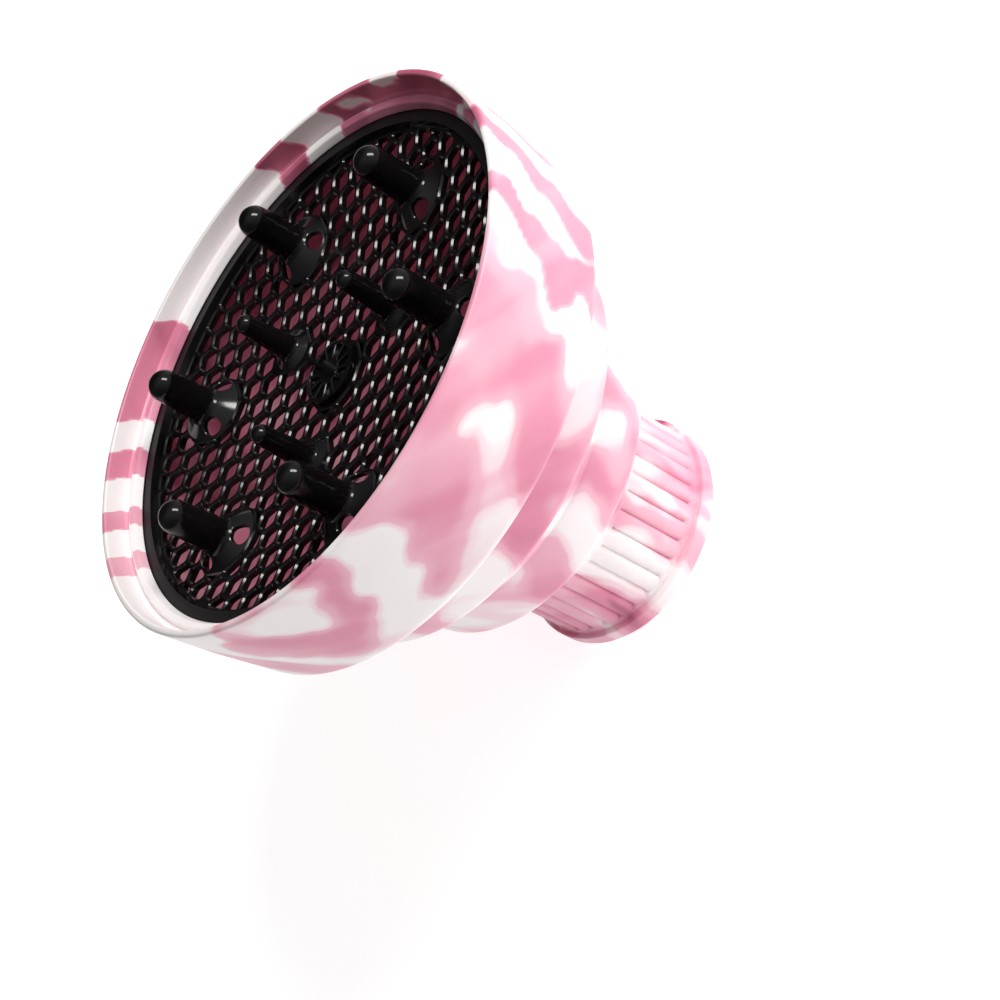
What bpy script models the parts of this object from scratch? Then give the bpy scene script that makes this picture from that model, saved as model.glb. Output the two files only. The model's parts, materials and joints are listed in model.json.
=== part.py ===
"""Collapsible hair-dryer diffuser: a folding silicone bell with a hard grille and prongs in its mouth.

The part stands on its dryer end. +Z runs along the axis from the dryer end to the mouth, and the
origin is the centre of the dryer end's face. It is modelled extended. The bell is a bowl and two
rings joined by thin conical webs, so each section can drop over the one below it.
"""

import math

import bpy
from mathutils import Vector
from mathutils.geometry import delaunay_2d_cdt

MM = 0.001
TAU = 2.0 * math.pi

# Driving dimensions, in millimetres.
MOUTH_HEIGHT = 122.0  # dryer end to the lip of the mouth, extended
MOUTH_RADIUS = 75.0
WALL = 2.0  # silicone wall of the rings and the bowl's shoulder
GAP = 0.3  # clearance between touching pieces
TURN_STEPS = 48  # facets round each turned silicone section

# Bowl: the lip, the seat that grips the grille's edge, and the rounded shoulder.
LIP_INNER_RADIUS = 73.0
LIP_ROUND = 0.8
BEAD_RADIUS = 68.3  # the bead above the grille's edge
BEAD_CREST_RADIUS = 70.6
BEAD_HEIGHT = 2.5
LIP_GROOVE_RADIUS = 71.8
LEDGE_RADIUS = 69.4  # the ledge below the grille's edge
SEAT_RADIUS = 71.0
SEAT_BOTTOM = 110.6
SEAT_TOP = 113.6
BOWL_INNER_RADIUS = 70.0
BOWL_SHOULDER = {"radius": 72.0, "centre": 91.0, "round": 5.0}

# The two folding rings, which taper down to a rounded shoulder.
OUTER_RING = {"top_radius": 58.2, "top": 80.0, "radius": 56.6, "centre": 69.6, "round": 4.0}
INNER_RING = {"top_radius": 46.4, "top": 57.3, "radius": 45.0, "centre": 45.4, "round": 3.8}

# Socket that slips over the dryer's nozzle.
SOCKET_BORE_RADIUS = 28.4
SOCKET_TOP = 34.0
SOCKET_TOP_RADIUS = 32.3
END_LIP_RADIUS = 33.0
END_LIP_HEIGHT = 4.8
RIB_COUNT = 36
RIB_CREST_RADIUS = 30.9
RIB_GROOVE_RADIUS = 29.9
RIB_BOTTOM = 5.6
RIB_TOP = 31.6

# Grip fins: pairs of thin blades inside the socket that bend aside round the nozzle.
FIN_PAIRS = 6
FIN_FIRST_PAIR = math.radians(30.0)
FIN_HALF_SPREAD = math.radians(6.5)
FIN_PIVOT_RADIUS = 27.2
FIN_THICKNESS = 1.8
FIN_REACH = 9.0
FIN_BOTTOM = 2.4
FIN_TOP = 32.6

# Grille: a flat rim, a dished honeycomb, and bosses that carry the prongs.
GRILLE_RADIUS = 70.5
GRILLE_RIM_TOP = 113.3
GRILLE_RIM_BOTTOM = 110.9
DISH_RADIUS = 64.8
DISH_STEP_RADIUS = 65.4
DISH_CENTRE_TOP = 104.6
DISH_RISE = 6.9
DISH_THICKNESS = 2.2
CELL_PITCH = 6.93
CELL_WALL = 1.5
CELL_AREA_RADIUS = 64.1
SMALLEST_OPENING = 5.0  # square millimetres; smaller corners of cells stay solid
GRILLE_STEPS = 48

# Prongs stand on bosses, a whole number of cells from the axis.
LONG_PRONGS = 6
LONG_PRONG_DISTANCE = 7.0 * CELL_PITCH
SHORT_PRONGS = 3
SHORT_PRONG_DISTANCE = 2.0 * math.sqrt(3.0) * CELL_PITCH
SHORT_PRONG_FIRST = math.radians(-30.0)
LONG_BOSS = {"foot": 9.2, "top_radius": 5.0, "top": 111.3}
SHORT_BOSS = {"foot": 5.2, "top_radius": 3.8, "top": 107.0}
BOSS_MARGIN = 0.5  # solid plate left round each boss
BOSS_THICKNESS = 1.5
LONG_PRONG = {"base": 4.9, "neck": 4.6, "tip": 4.3, "tip_centre": 123.7, "flare": 3.0}
SHORT_PRONG = {"base": 3.6, "neck": 2.9, "tip": 2.6, "tip_centre": 120.4, "flare": 3.0}
VENT_DEPTH = 3.7  # seen from above; on the boss's slope the vent is about as long as it's wide
VENT_WIDTH = 5.2
VENT_DISTANCE = 6.9
VENTS_PER_BOSS = 3
VENT_SIDES = 10
PRONG_STEPS = 12
BOSS_STEPS = 10
HUB_RADIUS = 8.6
HUB_BOTTOM_CLEARANCE = 0.35
HUB_THICKNESS = 1.6
HUB_CLOSED_RADIUS = 9.6

SILICONE_PINK = (0.90, 0.47, 0.56)
SILICONE_PALE = (0.96, 0.86, 0.88)
GRILLE_BLACK = (0.012, 0.012, 0.014)


def clear_scene():
    for obj in list(bpy.data.objects):
        bpy.data.objects.remove(obj, do_unlink=True)


def make_material(name, colour, roughness):
    material = bpy.data.materials.new(name)
    material.use_nodes = True
    shader = material.node_tree.nodes["Principled BSDF"]
    shader.inputs["Base Color"].default_value = (*colour, 1.0)
    shader.inputs["Roughness"].default_value = roughness
    shader.inputs["Metallic"].default_value = 0.0
    return material


def add_object(name, points, faces, colour, roughness, smooth_angle=40.0):
    """An object from points in millimetres, with its own material."""
    mesh = bpy.data.meshes.new(name)
    mesh.from_pydata([Vector(point) * MM for point in points], [], faces)
    mesh.validate()
    mesh.shade_smooth()
    mesh.set_sharp_from_angle(angle=math.radians(smooth_angle))
    mesh.materials.append(make_material(name, colour, roughness))
    obj = bpy.data.objects.new(name, mesh)
    bpy.context.collection.objects.link(obj)
    return obj


def arc(centre_radius, centre_height, size, start, end, steps):
    """Points (radius, height) of an arc in the turning plane; angles in degrees, 0 pointing outwards."""
    found = []
    for i in range(steps + 1):
        angle = math.radians(start + (end - start) * i / steps)
        radius = centre_radius + size * math.cos(angle)
        found.append((radius, centre_height + size * math.sin(angle)))
    return found


def ring_solid(rings):
    """A closed body from rings of points. The rings go round the section clockwise, seen with +Z up
    and the axis on the left, so that the faces point out."""
    count = len(rings[0])
    points = [point for ring in rings for point in ring]
    faces = []
    for i in range(len(rings)):
        following = (i + 1) % len(rings)
        for j in range(count):
            beside = (j + 1) % count
            faces.append(
                (i * count + j, following * count + j, following * count + beside, i * count + beside)
            )
    return points, faces


def circle(radius, height, steps):
    return [
        (radius * math.cos(TAU * j / steps), radius * math.sin(TAU * j / steps), height)
        for j in range(steps)
    ]


def turned(name, section, colour, roughness, steps=TURN_STEPS):
    """A body turned round the axis. The section is a closed outline of (radius, height), clockwise."""
    rings = [circle(radius, height, steps) for radius, height in section]
    return add_object(name, *ring_solid(rings), colour, roughness)


def shoulder_start(shape):
    """Radius of the centre of the shoulder's rounding."""
    return shape["radius"] - shape["round"]


def make_bowl():
    """The lip, the outer wall, the rolled shoulder, and the inner wall with the grille's seat."""
    shoulder = BOWL_SHOULDER
    turn = shoulder_start(shoulder)
    lip_turn = MOUTH_RADIUS - LIP_ROUND
    section = [(LIP_INNER_RADIUS, MOUTH_HEIGHT)]
    section += arc(lip_turn, MOUTH_HEIGHT - LIP_ROUND, LIP_ROUND, 90, 0, 2)
    section += [(MOUTH_RADIUS - 0.9, 107.0)]
    section += arc(turn, shoulder["centre"], shoulder["round"], 0, -90, 3)
    section += arc(turn, shoulder["centre"], shoulder["round"] - WALL, -90, 0, 2)
    section += [(BOWL_INNER_RADIUS, SEAT_BOTTOM - 2.0), (LEDGE_RADIUS, SEAT_BOTTOM - 0.2)]
    section += [(SEAT_RADIUS, SEAT_BOTTOM), (SEAT_RADIUS, SEAT_TOP)]
    section += [(BEAD_RADIUS, SEAT_TOP), (BEAD_RADIUS + 1.2, SEAT_TOP + BEAD_HEIGHT - 0.9)]
    section += [(BEAD_CREST_RADIUS, SEAT_TOP + BEAD_HEIGHT)]
    section += [(LIP_GROOVE_RADIUS, SEAT_TOP + BEAD_HEIGHT - 0.5)]
    return turned("bowl", section, SILICONE_PINK, 0.42)


def make_ring(name, shape):
    """One folding ring: a tapered band whose lower edge rolls inwards."""
    turn = shoulder_start(shape)
    section = [(shape["top_radius"] - WALL, shape["top"]), (shape["top_radius"], shape["top"])]
    section += arc(turn, shape["centre"], shape["round"], 0, -90, 3)
    section += arc(turn, shape["centre"], shape["round"] - WALL, -90, 0, 1)
    return turned(name, section, SILICONE_PINK, 0.42)


def make_web(name, shape, below_radius, below_top):
    """The thin cone that joins the shoulder of one section to the top edge of the section below."""
    outer = shoulder_start(shape) - GAP
    low = shape["centre"] - shape["round"]
    foot = below_top + GAP
    thickness = WALL - GAP
    section = [
        (below_radius - WALL, foot),
        (below_radius - WALL, foot + thickness),
        (outer, low + thickness),
        (outer, low),
        (below_radius, foot),
    ]
    return turned(name, section, SILICONE_PALE, 0.45)


def rib_ring(height):
    """One ring of the ribbed wall: each rib has two crest points, and a groove on each side."""
    steps = RIB_COUNT * 3
    ring = []
    for j in range(steps):
        radius = RIB_GROOVE_RADIUS if j % 3 == 0 else RIB_CREST_RADIUS
        angle = TAU * j / steps
        ring.append((radius * math.cos(angle), radius * math.sin(angle), height))
    return ring


def make_socket():
    """The tube that takes the dryer's nozzle: smooth inside, ribbed outside, with a thick end lip."""
    steps = RIB_COUNT * 3
    rings = [
        circle(SOCKET_BORE_RADIUS + 1.9, SOCKET_TOP, steps),
        circle(SOCKET_TOP_RADIUS, SOCKET_TOP, steps),
        circle(SOCKET_TOP_RADIUS, RIB_TOP + 1.2, steps),
        rib_ring(RIB_TOP),
        rib_ring(RIB_BOTTOM),
        circle(END_LIP_RADIUS, END_LIP_HEIGHT, steps),
        circle(END_LIP_RADIUS, 0.8, steps),
        circle(END_LIP_RADIUS - 0.7, 0.0, steps),
        circle(SOCKET_BORE_RADIUS + 0.4, 0.0, steps),
        circle(SOCKET_BORE_RADIUS, 0.6, steps),
        circle(SOCKET_BORE_RADIUS, RIB_TOP, steps),
    ]
    return add_object("nozzle_socket", *ring_solid(rings), SILICONE_PINK, 0.45)


def fin_section(reach, height):
    """Outline of a fin at one height: a round root about the pivot, and two straight sides."""
    half = FIN_THICKNESS / 2
    diagonal = half * math.sqrt(0.5)
    outline = [(reach, -half), (reach, half), (0.0, half), (-diagonal, diagonal)]
    outline += [(-half, 0.0), (-diagonal, -diagonal), (0.0, -half)]
    return [(x, y, height) for x, y in outline]


def make_fin(name, azimuth):
    """A blade whose free edge arches from the wall at the dryer end to its full reach deeper in.
    Its origin is on the line it bends about, and its own +X points to the socket's axis."""
    mid = FIN_BOTTOM + 0.42 * (FIN_TOP - FIN_BOTTOM)
    levels = [(FIN_BOTTOM, 0.5), ((FIN_BOTTOM + mid) / 2, 0.75 * FIN_REACH), (mid, FIN_REACH)]
    levels += [(FIN_TOP - 5.0, FIN_REACH), (FIN_TOP, 0.45 * FIN_REACH)]
    sections = [fin_section(reach, height) for height, reach in levels]
    count = len(sections[0])
    points = [point for section in sections for point in section]
    faces = [tuple(reversed(range(count)))]
    for i in range(len(sections) - 1):
        for j in range(count):
            beside = (j + 1) % count
            low, high = i * count, (i + 1) * count
            faces.append((low + j, low + beside, high + beside, high + j))
    faces.append(tuple(range((len(sections) - 1) * count, len(sections) * count)))
    obj = add_object(name, points, faces, SILICONE_PINK, 0.45)
    pivot = Vector((math.cos(azimuth), math.sin(azimuth), 0.0)) * FIN_PIVOT_RADIUS * MM
    obj.location = pivot
    obj.rotation_euler = (0.0, 0.0, azimuth + math.pi)
    return obj


def make_fins():
    number = 1
    for pair in range(FIN_PAIRS):
        centre = FIN_FIRST_PAIR + pair * TAU / FIN_PAIRS
        for side in (-1, 1):
            make_fin(f"grip_fin_{number:02d}", centre + side * FIN_HALF_SPREAD)
            number += 1


def prong_places():
    """(name, x, y, boss, prong) of each prong."""
    places = []
    for i in range(LONG_PRONGS):
        angle = TAU * i / LONG_PRONGS
        x, y = LONG_PRONG_DISTANCE * math.cos(angle), LONG_PRONG_DISTANCE * math.sin(angle)
        places.append((f"long_prong_{i + 1}", x, y, LONG_BOSS, LONG_PRONG))
    for i in range(SHORT_PRONGS):
        angle = SHORT_PRONG_FIRST + TAU * i / SHORT_PRONGS
        x, y = SHORT_PRONG_DISTANCE * math.cos(angle), SHORT_PRONG_DISTANCE * math.sin(angle)
        places.append((f"short_prong_{i + 1}", x, y, SHORT_BOSS, SHORT_PRONG))
    return places


def dish_faces(x, y):
    """Heights of the honeycomb's upper and lower faces: a shallow bowl that rises to each prong's
    boss, which is a cone with its side open in three places and hollow below."""
    distance = math.hypot(x, y)
    high = DISH_CENTRE_TOP + DISH_RISE * (distance / DISH_RADIUS) ** 2
    thickness = DISH_THICKNESS
    for _, boss_x, boss_y, boss, _ in prong_places():
        away = math.hypot(x - boss_x, y - boss_y)
        share = (boss["foot"] - away) / (boss["foot"] - boss["top_radius"])
        share = min(1.0, max(0.0, share))
        high += share * (boss["top"] - high)
        thickness += share * (BOSS_THICKNESS - DISH_THICKNESS)
    return high, high - thickness


def grille_top(x, y):
    if math.hypot(x, y) > (DISH_RADIUS + DISH_STEP_RADIUS) / 2:
        return GRILLE_RIM_TOP
    return dish_faces(x, y)[0]


def grille_bottom(x, y):
    if math.hypot(x, y) > (DISH_RADIUS + DISH_STEP_RADIUS) / 2:
        return GRILLE_RIM_BOTTOM
    return dish_faces(x, y)[1]


def polygon(centre_x, centre_y, radius, sides, turn=0.0):
    return [
        (
            centre_x + radius * math.cos(turn + TAU * j / sides),
            centre_y + radius * math.sin(turn + TAU * j / sides),
        )
        for j in range(sides)
    ]


def clip(outline, normal_x, normal_y, limit):
    """The part of a convex outline where x * normal_x + y * normal_y is at most the limit."""
    kept = []
    for j, (x, y) in enumerate(outline):
        before_x, before_y = outline[j - 1]
        here = x * normal_x + y * normal_y - limit
        before = before_x * normal_x + before_y * normal_y - limit
        if here * before < 0:
            share = before / (before - here)
            kept.append((before_x + share * (x - before_x), before_y + share * (y - before_y)))
        if here <= 0:
            kept.append((x, y))
    return kept


def area(outline):
    doubled = 0.0
    for j, (x, y) in enumerate(outline):
        before_x, before_y = outline[j - 1]
        doubled += before_x * y - x * before_y
    return abs(doubled) / 2


def cell_outline(x, y):
    """A hexagonal opening, cut back to the honeycomb's area and clear of the bosses and the hub."""
    outline = polygon(x, y, (CELL_PITCH - CELL_WALL) / math.sqrt(3.0), 6, math.radians(30.0))
    if math.hypot(x, y) > CELL_AREA_RADIUS - CELL_PITCH:
        for j in range(GRILLE_STEPS):
            angle = TAU * (j + 0.5) / GRILLE_STEPS
            limit = CELL_AREA_RADIUS * math.cos(math.pi / GRILLE_STEPS)
            outline = clip(outline, math.cos(angle), math.sin(angle), limit)
    rounds = [(0.0, 0.0, HUB_CLOSED_RADIUS)]
    rounds += [(bx, by, boss["foot"] + BOSS_MARGIN) for _, bx, by, boss, _ in prong_places()]
    for round_x, round_y, size in rounds:
        away = math.hypot(x - round_x, y - round_y)
        if away < 0.5 * CELL_PITCH:
            return []
        if away < size + CELL_PITCH:
            normal_x, normal_y = (round_x - x) / away, (round_y - y) / away
            limit = round_x * normal_x + round_y * normal_y - size
            outline = clip(outline, normal_x, normal_y, limit)
    return outline if len(outline) > 2 and area(outline) > SMALLEST_OPENING else []


def cell_openings():
    reach = int(CELL_AREA_RADIUS / CELL_PITCH) + 3
    openings = []
    for row in range(-reach, reach + 1):
        for column in range(-2 * reach, 2 * reach + 1):
            x = (column + 0.5 * row) * CELL_PITCH + CELL_PITCH / 2
            y = (row + 1.0 / 3.0) * CELL_PITCH * math.sqrt(3.0) / 2
            if math.hypot(x, y) < CELL_AREA_RADIUS + CELL_PITCH:
                openings.append(cell_outline(x, y))
    return [outline for outline in openings if outline]


def vent_openings():
    """Three vents through the slope of each long prong's boss, one of them pointing outwards."""
    openings = []
    for i in range(LONG_PRONGS):
        outwards = TAU * i / LONG_PRONGS
        centre_x = LONG_PRONG_DISTANCE * math.cos(outwards)
        centre_y = LONG_PRONG_DISTANCE * math.sin(outwards)
        for k in range(VENTS_PER_BOSS):
            angle = outwards + TAU * k / VENTS_PER_BOSS
            outline = []
            for x, y in polygon(0.0, 0.0, 1.0, VENT_SIDES):
                along, across = VENT_DISTANCE + x * VENT_DEPTH / 2, y * VENT_WIDTH / 2
                here_x = centre_x + along * math.cos(angle) - across * math.sin(angle)
                here_y = centre_y + along * math.sin(angle) + across * math.cos(angle)
                outline.append((here_x, here_y))
            openings.append(outline)
    return openings


def plan_triangles(outer, inner_loops, openings):
    """Triangles of the outer outline less the openings, with the inner loops kept as edges."""
    points, edges, faces = [], [], []

    def add_loop(outline):
        first = len(points)
        points.extend(Vector(point) for point in outline)
        return list(range(first, len(points)))

    faces.append(add_loop(outer))
    faces += [add_loop(outline) for outline in openings]
    for outline in inner_loops:
        loop = add_loop(outline)
        edges += [(loop[j - 1], loop[j]) for j in range(len(loop))]
    found, _, triangles, _, _, sources = delaunay_2d_cdt(points, edges, faces, 1, 1e-5)
    kept = [tuple(tri) for tri, source in zip(triangles, sources) if list(source) == [0]]
    return [(point.x, point.y) for point in found], kept


def slab(points, triangles, top, bottom):
    """A closed body between two height functions, over a set of plan triangles."""
    used = sorted({index for triangle in triangles for index in triangle})
    place = {index: j for j, index in enumerate(used)}
    plan = [points[index] for index in used]
    triangles = [tuple(place[index] for index in triangle) for triangle in triangles]
    count = len(plan)
    solid = [(x, y, top(x, y)) for x, y in plan] + [(x, y, bottom(x, y)) for x, y in plan]
    faces = list(triangles)
    faces += [(c + count, b + count, a + count) for a, b, c in triangles]
    directed = {pair for a, b, c in triangles for pair in ((a, b), (b, c), (c, a))}
    for a, b in sorted(directed):
        if (b, a) not in directed:
            faces.append((b, a, a + count, b + count))
    return solid, faces


def make_grille():
    outer = polygon(0.0, 0.0, GRILLE_RADIUS, GRILLE_STEPS)
    loops = [polygon(0.0, 0.0, radius, GRILLE_STEPS) for radius in (DISH_STEP_RADIUS, DISH_RADIUS)]
    for _, x, y, boss, _ in prong_places():
        loops.append(polygon(x, y, boss["foot"], BOSS_STEPS))
        loops.append(polygon(x, y, boss["top_radius"], BOSS_STEPS))
    points, triangles = plan_triangles(outer, loops, cell_openings() + vent_openings())
    solid = slab(points, triangles, grille_top, grille_bottom)
    return add_object("grille_plate", *solid, GRILLE_BLACK, 0.22, smooth_angle=25.0)


def turned_peg(name, section, x, y):
    """A solid of revolution that stands at (x, y). The section goes from its tip down to its base."""
    tip_height = section[0][1]
    points = [(0.0, 0.0, tip_height)]
    for radius, height in section[1:]:
        points += circle(radius, height, PRONG_STEPS)
    faces = []
    for j in range(PRONG_STEPS):
        faces.append((0, 1 + j, 1 + (j + 1) % PRONG_STEPS))
    for i in range(len(section) - 2):
        high, low = 1 + i * PRONG_STEPS, 1 + (i + 1) * PRONG_STEPS
        for j in range(PRONG_STEPS):
            beside = (j + 1) % PRONG_STEPS
            faces.append((high + j, low + j, low + beside, high + beside))
    last = 1 + (len(section) - 2) * PRONG_STEPS
    faces.append(tuple(reversed(range(last, last + PRONG_STEPS))))
    obj = add_object(name, points, faces, GRILLE_BLACK, 0.2)
    obj.location = (x * MM, y * MM, 0.0)
    return obj


def make_prong(name, x, y, boss, prong):
    """A slender peg with a domed tip, flared where it meets its boss."""
    base = boss["top"] + GAP
    section = [(0.0, prong["tip_centre"] + prong["tip"])]
    section += arc(0.0, prong["tip_centre"], prong["tip"], 60, 0, 2)
    section += [(prong["neck"], base + prong["flare"]), (prong["base"], base)]
    return turned_peg(name, section, x, y)


def make_hub():
    """The raised disc at the centre of the grille."""
    low = DISH_CENTRE_TOP + DISH_RISE * (HUB_RADIUS / DISH_RADIUS) ** 2 + HUB_BOTTOM_CLEARANCE
    high = low + HUB_THICKNESS
    section = [(0.0, high), (2.6, high), (3.4, high - 0.5), (HUB_RADIUS - 0.6, high - 0.5)]
    section += [(HUB_RADIUS, high - 1.0), (HUB_RADIUS, low)]
    return turned_peg("grille_hub", section, 0.0, 0.0)


def main():
    clear_scene()
    make_bowl()
    make_ring("outer_ring", OUTER_RING)
    make_ring("inner_ring", INNER_RING)
    make_socket()
    make_web("fold_web_bowl", BOWL_SHOULDER, OUTER_RING["top_radius"], OUTER_RING["top"])
    make_web("fold_web_middle", OUTER_RING, INNER_RING["top_radius"], INNER_RING["top"])
    make_web("fold_web_socket", INNER_RING, SOCKET_TOP_RADIUS, SOCKET_TOP)
    make_fins()
    make_grille()
    make_hub()
    for name, x, y, boss, prong in prong_places():
        make_prong(name, x, y, boss, prong)


main()
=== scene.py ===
"""Looks of the folding dryer diffuser: a marbled silicone bell with a black grille and prongs in its mouth.

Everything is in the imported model's frame, and sizes here are in millimetres until a mesh is made.
The bell's skins reach from one section across the fold to the next, so a fold shows no seam.
"""

import json
import math

import bpy
import numpy as np
from mathutils import Matrix, Vector
from mathutils.geometry import delaunay_2d_cdt

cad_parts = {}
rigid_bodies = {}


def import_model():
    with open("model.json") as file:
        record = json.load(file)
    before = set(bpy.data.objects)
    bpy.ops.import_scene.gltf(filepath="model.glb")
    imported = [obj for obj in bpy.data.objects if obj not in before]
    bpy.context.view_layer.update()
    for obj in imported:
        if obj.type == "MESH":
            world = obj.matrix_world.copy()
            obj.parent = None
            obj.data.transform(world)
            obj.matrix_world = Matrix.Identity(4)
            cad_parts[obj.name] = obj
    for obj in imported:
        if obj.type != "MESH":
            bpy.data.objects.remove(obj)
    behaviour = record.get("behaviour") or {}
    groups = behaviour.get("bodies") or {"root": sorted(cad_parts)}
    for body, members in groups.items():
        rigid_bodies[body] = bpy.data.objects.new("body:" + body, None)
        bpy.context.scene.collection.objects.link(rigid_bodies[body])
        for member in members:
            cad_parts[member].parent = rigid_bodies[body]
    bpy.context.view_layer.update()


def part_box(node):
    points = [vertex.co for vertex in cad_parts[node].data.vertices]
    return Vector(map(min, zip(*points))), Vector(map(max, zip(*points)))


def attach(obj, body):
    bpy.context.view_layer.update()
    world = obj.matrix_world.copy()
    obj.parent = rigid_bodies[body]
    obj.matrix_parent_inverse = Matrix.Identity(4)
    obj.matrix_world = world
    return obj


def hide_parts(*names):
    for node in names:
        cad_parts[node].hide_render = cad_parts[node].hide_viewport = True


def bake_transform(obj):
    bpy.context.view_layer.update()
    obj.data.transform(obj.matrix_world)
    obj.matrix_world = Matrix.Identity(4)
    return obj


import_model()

MM = 0.001
TAU = 2.0 * math.pi

# Bell: the lip, the bowl's wall, and the shoulder that rolls in to the fold.
LIP_TOP = 122.0
LIP_RADIUS = 75.0
LIP_INNER = 73.1
LIP_ROOT = 107.0  # height at which the lip's outer side meets the bowl's wall
BEAD_RADIUS = 68.35
SEAT_RADIUS = 71.0
SEAT_BOTTOM = 110.6
SEAT_TOP = 113.5
WALL = 2.0
COLLAR_GAP = 0.04  # how far a skin's collar stands off the section below
BOWL = {"radius": 72.0, "centre": 91.0, "round": 5.0}
OUTER = {"top_radius": 58.2, "top": 80.0, "radius": 56.6, "centre": 69.6, "round": 4.0}
INNER = {"top_radius": 46.4, "top": 57.3, "radius": 45.0, "centre": 45.4, "round": 3.8}
SOCKET_TOP = 34.0
SOCKET_TOP_RADIUS = 32.3
BORE = 28.4
END_LIP_RADIUS = 33.0
RIBS = 36
RIB_GROOVE = 29.9
RIB_CREST = 31.2
RIBS_FROM = 5.5
RIBS_TO = 31.4
ARC_STEPS = 7
SKIN_STEP = 1.6
SOCKET_STEP = 0.45
BOWL_COLUMNS = 540
OUTER_COLUMNS = 320
INNER_COLUMNS = 240
COLUMNS_PER_RIB = 14
# Where each skin's fold starts and ends, as radii and as heights.
BOWL_FOLD = {"start_radius": 58.6, "end_radius": 66.6, "start": 80.3, "end": 85.8}
OUTER_FOLD = {"start_radius": 46.8, "end_radius": 52.4, "start": 57.6, "end": 65.4}
INNER_FOLD = {"start_radius": 32.7, "end_radius": 41.0, "start": 34.3, "end": 41.4}
ABOVE_FOLD = 2.5  # this far above a fold, a skin rides wholly on the section above

# Grip fins: pairs of blades inside the socket
FIN_PAIRS = 6
FIN_SPREAD = math.radians(6.5)
FIN_BOTTOM = 1.6
FIN_TOP = 32.4
FIN_REACH = 9.0
FIN_ROOT_RADIUS = 27.2
FIN_SUNK = 0.6
FIN_HALF_THICKNESS = 0.95

# Grille
GRILLE_RADIUS = 70.5
RIM_TOP = 113.3
RIM_BOTTOM = 110.9
DISH_RADIUS = 64.8
STEP_WIDTH = 0.5
DISH_CENTRE = 104.6
DISH_RISE = 6.9
DISH_THICKNESS = 2.2
PITCH = 6.93
CELL_WALL = 1.5
CELL_AREA = 64.1
AREA_SIDES = 96  # the round edge of the cells' area, as straight cuts
SMALLEST_CELL = 1.6
CELL_CORNER = 0.55
EDGE = 0.42  # chamfer of the openings' upper edges
EDGE_UNDER = 0.25
LONG_DISTANCE = 7.0 * PITCH
SHORT_DISTANCE = 2.0 * math.sqrt(3.0) * PITCH
LONG_BOSS = {"foot": 9.2, "top_radius": 5.0, "top": 111.3}
SHORT_BOSS = {"foot": 5.8, "top_radius": 3.8, "top": 106.8}
BOSS_MARGIN = 0.5
BOSS_THICKNESS = 1.5
LONG_PRONG = {"base": 5.0, "tip": 4.3, "tip_centre": 123.7}
SHORT_PRONG = {"base": 3.6, "tip": 2.6, "tip_centre": 120.4}
VENT_DEPTH = 3.7
VENT_WIDTH = 5.2
VENT_DISTANCE = 6.9
VENTS_PER_BOSS = 3
VENT_SIDES = 24
BOSS_SIDES = 40
RIM_SIDES = 240
HUB_RADIUS = 8.6
HUB_SIDES = 96
HUB_POCKETS = 12
HUB_POCKET_RADII = (3.6, 7.4)
HUB_SPOKE = 0.84  # width of the wall between two pockets
HUB_DEPTH = 0.9
HUB_CORNER = 0.25
HUB_EDGE = 0.2


# ---------------------------------------------------------------- shapes


def smooth(value):
    """An even start and end between 0 and 1."""
    value = np.clip(value, 0.0, 1.0)
    return value * value * (3.0 - 2.0 * value)


def mesh_object(name, points, faces, sharp=40.0):
    """An object from points in millimetres. It keeps each point's place at rest for its material."""
    mesh = bpy.data.meshes.new(name)
    points = np.asarray(points, float) * MM
    mesh.from_pydata(points.tolist(), [], [tuple(int(i) for i in face) for face in faces])
    mesh.validate()
    mesh.shade_smooth()
    mesh.set_sharp_from_angle(angle=math.radians(sharp))
    rest = mesh.attributes.new("rest_place", "FLOAT_VECTOR", "POINT")
    rest.data.foreach_set("vector", points.astype(np.float32).ravel())
    obj = bpy.data.objects.new(name, mesh)
    bpy.context.scene.collection.objects.link(obj)
    return obj


def rounded(corners, steps=6, longest=2.5):
    """A closed outline from corners (radius, height, rounding), with long sides divided."""
    count = len(corners)
    outline = []
    for i, (x, y, size) in enumerate(corners):
        here = Vector((x, y))
        before = Vector(corners[i - 1][:2]) - here
        after = Vector(corners[(i + 1) % count][:2]) - here
        if size <= 0.0:
            outline.append(here)
            continue
        half = before.angle(after) / 2
        back = min(size / math.tan(half), 0.49 * before.length, 0.49 * after.length)
        size = back * math.tan(half)
        start, end = here + before.normalized() * back, here + after.normalized() * back
        centre = here + (before.normalized() + after.normalized()).normalized() * (size / math.sin(half))
        first, last = start - centre, end - centre
        swing = first.angle_signed(last)
        for k in range(steps + 1):
            turn = -swing * k / steps
            turned = Vector(
                (
                    first.x * math.cos(turn) - first.y * math.sin(turn),
                    first.x * math.sin(turn) + first.y * math.cos(turn),
                )
            )
            outline.append(centre + turned)
    divided = []
    for i, point in enumerate(outline):
        following = outline[(i + 1) % len(outline)]
        parts = max(1, math.ceil((following - point).length / longest))
        divided += [point.lerp(following, k / parts) for k in range(parts)]
    return [(p.x, p.y) for p in divided]


def turned_grid(outline, steps, shape=None):
    """Points and faces of a closed outline turned round the axis; shape may change each point."""
    angles = np.arange(steps) * TAU / steps
    rows = len(outline)
    radius = np.array([p[0] for p in outline])[:, None] * np.ones(steps)
    height = np.array([p[1] for p in outline])[:, None] * np.ones(steps)
    angle = np.ones(rows)[:, None] * angles
    if shape:
        radius, height = shape(radius, height, angle)
    points = np.stack([radius * np.cos(angle), radius * np.sin(angle), height], -1).reshape(-1, 3)
    i, j = np.meshgrid(np.arange(rows), np.arange(steps), indexing="ij")
    down, beside = (i + 1) % rows, (j + 1) % steps
    faces = np.stack([i * steps + j, down * steps + j, down * steps + beside, i * steps + beside], -1)
    return points, faces.reshape(-1, 4)


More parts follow.
